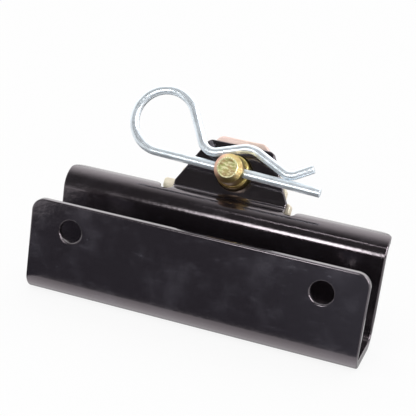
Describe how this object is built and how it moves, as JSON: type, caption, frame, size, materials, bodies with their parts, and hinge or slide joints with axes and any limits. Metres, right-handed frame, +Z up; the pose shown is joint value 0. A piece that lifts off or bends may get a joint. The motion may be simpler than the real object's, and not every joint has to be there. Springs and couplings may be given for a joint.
{
  "type": "snowmobile hitch",
  "caption": "Bolt-on channel bracket folded from sheet, with a raised tongue that carries a removable hitch pin, its back plate and a hairpin spring clip.",
  "frame": {"origin": "midway between the two bolt holes, on the outer face of the front flange", "axes": "+X along the channel, +Y from the front flange to the rear wall, +Z up towards the tongue"},
  "size_m": [0.1524, 0.0621, 0.0934],
  "materials": {
    "black_powder_coat": "gloss",
    "yellow_zinc": "satin",
    "bright_zinc": "bright"
  },
  "bodies": {
    "bracket": {"bracket": "black_powder_coat"},
    "pin": {"hitch_pin": "yellow_zinc", "back_plate": "yellow_zinc"},
    "clip": {"spring_clip": "bright_zinc"}
  },
  "joints": [
    {"name": "pin_slide", "type": "slide", "parent": "bracket", "child": "pin", "axis": [0, 0.9198, -0.3923], "range_m": [0, 0.005]},
    {"name": "clip_pull", "type": "slide", "parent": "pin", "child": "clip", "axis": [-0.9993, 0.0144, 0.0337], "range_m": [0, 0.06], "deforming": ["spring_clip"]}
  ]
}
